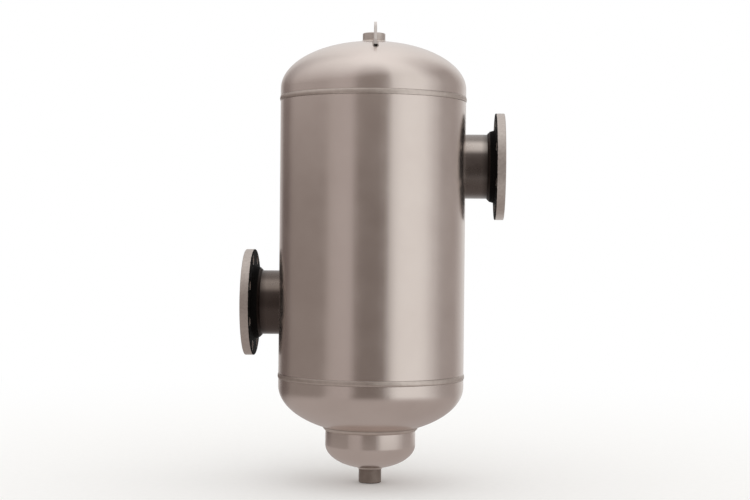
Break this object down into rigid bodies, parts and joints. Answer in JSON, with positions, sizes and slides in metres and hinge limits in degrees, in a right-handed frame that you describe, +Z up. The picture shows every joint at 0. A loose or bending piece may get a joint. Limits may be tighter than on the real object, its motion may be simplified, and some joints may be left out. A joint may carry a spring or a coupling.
{
  "type": "sediment separator",
  "caption": "Upright stainless sediment separator with dished heads, off-axis flanged inlet and outlet nozzles, a sediment bowl with a drain coupling, a vent coupling and lifting lugs.",
  "frame": {"origin": "centre of the drain coupling's mouth, the lowest point, on the vessel's axis", "axes": "+Z up along the vessel's axis, +X from the axis out of the outlet nozzle, -Y the front, away from the nozzles' centre lines"},
  "size_m": [0.6794, 0.5209, 1.1511],
  "materials": {
    "vessel_plate": "satin ground stainless plate",
    "nozzle_pipe": "pickled stainless pipe, duller than the plate",
    "flange_steel": "dark forged back and hub, machined bare rim and face",
    "coupling_steel": "turned stainless",
    "lug_plate": "cut plate",
    "inner_plate": "mill finish plate and bar",
    "weld_metal": "brushed weld bead"
  },
  "bodies": {
    "root": {"shell": "vessel_plate", "top_head": "vessel_plate", "bottom_head": "vessel_plate", "sediment_bowl": "vessel_plate", "inlet_nozzle": "nozzle_pipe", "outlet_nozzle": "nozzle_pipe", "inlet_flange": "flange_steel", "outlet_flange": "flange_steel", "vent_coupling": "coupling_steel", "drain_coupling": "coupling_steel", "front_lifting_lug": "lug_plate", "rear_lifting_lug": "lug_plate", "stilling_cone": "inner_plate", "cone_leg_1": "inner_plate", "cone_leg_2": "inner_plate", "cone_leg_3": "inner_plate", "top_girth_weld": "weld_metal", "bottom_girth_weld": "weld_metal", "shell_seam_weld": "weld_metal", "bowl_weld": "weld_metal", "vent_weld": "weld_metal", "drain_weld": "weld_metal", "inlet_nozzle_weld": "weld_metal", "outlet_nozzle_weld": "weld_metal", "inlet_hub_weld": "weld_metal", "outlet_hub_weld": "weld_metal", "inlet_bore_weld": "weld_metal", "outlet_bore_weld": "weld_metal", "front_lug_weld": "weld_metal", "rear_lug_weld": "weld_metal"}
  },
  "joints": []
}
